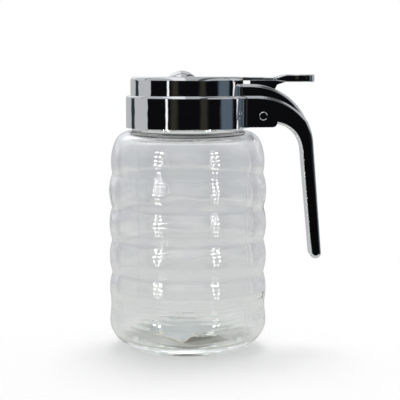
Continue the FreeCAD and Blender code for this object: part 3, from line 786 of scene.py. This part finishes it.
def loft(stations, verts, faces):
    """A closed skin over rounded rectangles that stand one behind the other along X."""
    first = len(verts)
    for x, half, bottom, top, edge in stations:
        ring = rounded_ring(half, bottom, top, min(edge, half * 0.9, (top - bottom) * 0.49))
        verts += [(x * MM, y * MM, z * MM) for y, z in ring]
    count = (len(verts) - first) // len(stations)
    for k in range(len(stations) - 1):
        for i in range(count):
            j = (i + 1) % count
            a, b = first + k * count, first + (k + 1) * count
            faces.append((a + i, a + j, b + j, b + i))
    faces.append([first + i for i in range(count)][::-1])
    faces.append([first + (len(stations) - 1) * count + i for i in range(count)])


def dome_cap(verts, faces):
    """A low dome on top of the tongue, its foot sunk into it."""
    ball = (DOME_RADIUS ** 2 + DOME_HEIGHT ** 2) / (2 * DOME_HEIGHT)
    reach = math.asin(DOME_RADIUS / ball)
    first, steps, turns = len(verts), 20, 72
    for k in range(steps):
        a = reach * (steps - k) / steps
        radius = ball * math.sin(a)
        z = GATE_TOP + DOME_HEIGHT - ball + ball * math.cos(a) - (DOME_SINK if k == 0 else 0.0)
        for t in [math.tau * i / turns for i in range(turns)]:
            verts.append(((DOME_X + radius * math.cos(t)) * MM, radius * math.sin(t) * MM, z * MM))
    verts.append((DOME_X * MM, 0.0, (GATE_TOP + DOME_HEIGHT) * MM))
    for k in range(steps - 1):
        for i in range(turns):
            j = (i + 1) % turns
            a, b = first + k * turns, first + (k + 1) * turns
            faces.append((a + i, a + j, b + j, b + i))
    last = first + (steps - 1) * turns
    faces.extend((last + i, last + (i + 1) % turns, len(verts) - 1) for i in range(turns))
    faces.append([first + i for i in range(turns)][::-1])


def web_plate(verts, faces):
    """The web under the shank. Its profile runs anticlockwise as seen from -Y."""
    first, count = len(verts), len(WEB_PROFILE)
    for y in (-WEB_HALF, WEB_HALF):
        verts += [(x * MM, y * MM, z * MM) for x, z in WEB_PROFILE]
    for i in range(count):
        j = (i + 1) % count
        faces.append((first + j, first + i, first + count + i, first + count + j))
    faces.append([first + i for i in range(count)])
    faces.append([first + count + i for i in range(count)][::-1])


def soften(obj, degrees=35.0):
    """Smooth shading with creases kept where the surface turns by more than the given angle."""
    obj.data.set_sharp_from_angle(angle=math.radians(degrees))


def make_gate():
    verts, faces = [], []
    loft(gate_stations(), verts, faces)
    dome_cap(verts, faces)
    web_plate(verts, faces)
    gate = mesh_piece("gate_lever", verts, faces)
    soften(gate)
    gate.data.materials.append(chrome_material("chrome_thumb_gate"))
    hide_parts("thumb_gate")
    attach(gate, "gate")


# Paper --------------------------------------------------------------------------------------------

# Sizes of the slip in millimetres, the same as the CAD's but for its waviness
SLIP_LONG = 34.0
SLIP_WIDE = 28.0
SLIP_THICK = 0.22
SLIP_CORNER = (-2.7, -16.3)
SLIP_TURN = 34.5            # degrees from +X to the side that lifts
SLIP_LIFT = 2.8
SLIP_BEND = 8.0
SLIP_WAVE = 0.25
SLIP_ABOVE = 0.01           # gap between the slip and the jar's floor
PAPER_TONES = (0.72, 0.76, 0.745, 1.0), (0.79, 0.82, 0.805, 1.0)
FIBRE_TONE = (0.70, 0.71, 0.68, 1.0)
FIBRE_SHARE = 0.35
# painted highlight: a lighter cream along the slip's near edges
EDGE_HIGHLIGHT_TONE = (0.92, 0.89, 0.78, 1.0)
EDGE_FROM, EDGE_TO = 2.2, 0.2           # how far in the painted highlight along the near edges starts and is full


def make_paper():
    """A blank slip, its near strip on the jar's floor and its far side standing off, a little wavy."""
    across_count, long_count = 28, 34
    turn = math.radians(SLIP_TURN)
    verts, faces = [], []
    for layer in (0.0, SLIP_THICK):
        for i in range(across_count + 1):
            for j in range(long_count + 1):
                u, v = SLIP_WIDE * i / across_count, SLIP_LONG * j / long_count
                lift = SLIP_LIFT * smooth_step(u, 0.0, SLIP_BEND)
                wave = noise.noise(Vector((u * 0.16, v * 0.13, 4.0)))
                lift += SLIP_WAVE * wave * smooth_step(u, 2.0, 9.0)
                x = SLIP_CORNER[0] + u * math.cos(turn) - v * math.sin(turn)
                y = SLIP_CORNER[1] + u * math.sin(turn) + v * math.cos(turn)
                verts.append((x * MM, y * MM, (FLOOR_HEIGHT + SLIP_ABOVE + lift + layer) * MM))
    row = long_count + 1
    half = (across_count + 1) * row
    for i in range(across_count):
        for j in range(long_count):
            a, b, c, d = i * row + j, (i + 1) * row + j, (i + 1) * row + j + 1, i * row + j + 1
            faces.append((d, c, b, a))
            faces.append((half + a, half + b, half + c, half + d))
    rim = list(range(long_count))
    rim += [i * row + long_count for i in range(across_count)]
    rim += [across_count * row + j for j in range(long_count, 0, -1)]
    rim += [i * row for i in range(across_count, 0, -1)]
    for a, b in zip(rim, rim[1:] + rim[:1]):
        faces.append((b, a, half + a, half + b))
    paper = mesh_piece("paper_sheet", verts, faces)
    soften(paper)
    paper.data.materials.append(paper_material())
    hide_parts("paper_slip")
    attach(paper, "jar_body")


def slip_place(n, position):
    """Distances from the slip's near corner along its two sides."""
    corner = (SLIP_CORNER[0] * MM, SLIP_CORNER[1] * MM, 0.0)
    local = n.add("ShaderNodeVectorMath", {0: position, 1: corner}, operation="SUBTRACT")
    local = n.add("ShaderNodeVectorRotate", {"Vector": local, "Angle": -math.radians(SLIP_TURN)})
    return n.split(local)[:2]


def paper_material():
    """Blank paper: pale with fibres and mottling, and a lighter, creamier painted highlight along the
    near edges.
    """
    material, n = new_material("paper")
    position = n.coordinates()
    u, v = slip_place(n, position)
    edge = n.step(n.math("MINIMUM", u, v), EDGE_FROM * MM, EDGE_TO * MM)
    mottle = n.noise(position, 260.0, 5.0)
    stretched = {0: n.math("MULTIPLY", u, 700.0), 1: n.math("MULTIPLY", v, 3800.0)}
    fibre = n.noise(n.add("ShaderNodeCombineXYZ", stretched), 1.0, 3.0)
    tone = n.mix(mottle, *PAPER_TONES)
    tone = n.mix(n.math("MULTIPLY", n.step(fibre, 0.55, 0.75), FIBRE_SHARE), tone, FIBRE_TONE)
    # painted highlight along the near edges
    tone = n.mix(edge, tone, EDGE_HIGHLIGHT_TONE)
    bump = n.add("ShaderNodeBump", {"Height": fibre, "Strength": 0.25, "Distance": 0.0001})
    shader = n.add("ShaderNodeBsdfPrincipled", {
        "Base Color": tone,
        "Roughness": 0.9,
        "Normal": bump.outputs[0],
    })
    n.add("ShaderNodeOutputMaterial", {"Surface": shader})
    return material


# The scene ----------------------------------------------------------------------------------------

bpy.context.scene.view_settings.view_transform = "Standard"
cycles = bpy.context.scene.cycles
cycles.max_bounces = cycles.transmission_bounces = cycles.glossy_bounces = LIGHT_BOUNCES
add_camera()
add_world()
add_floor()
add_lamps(make_jar())
make_chrome()
make_gate()
make_paper()
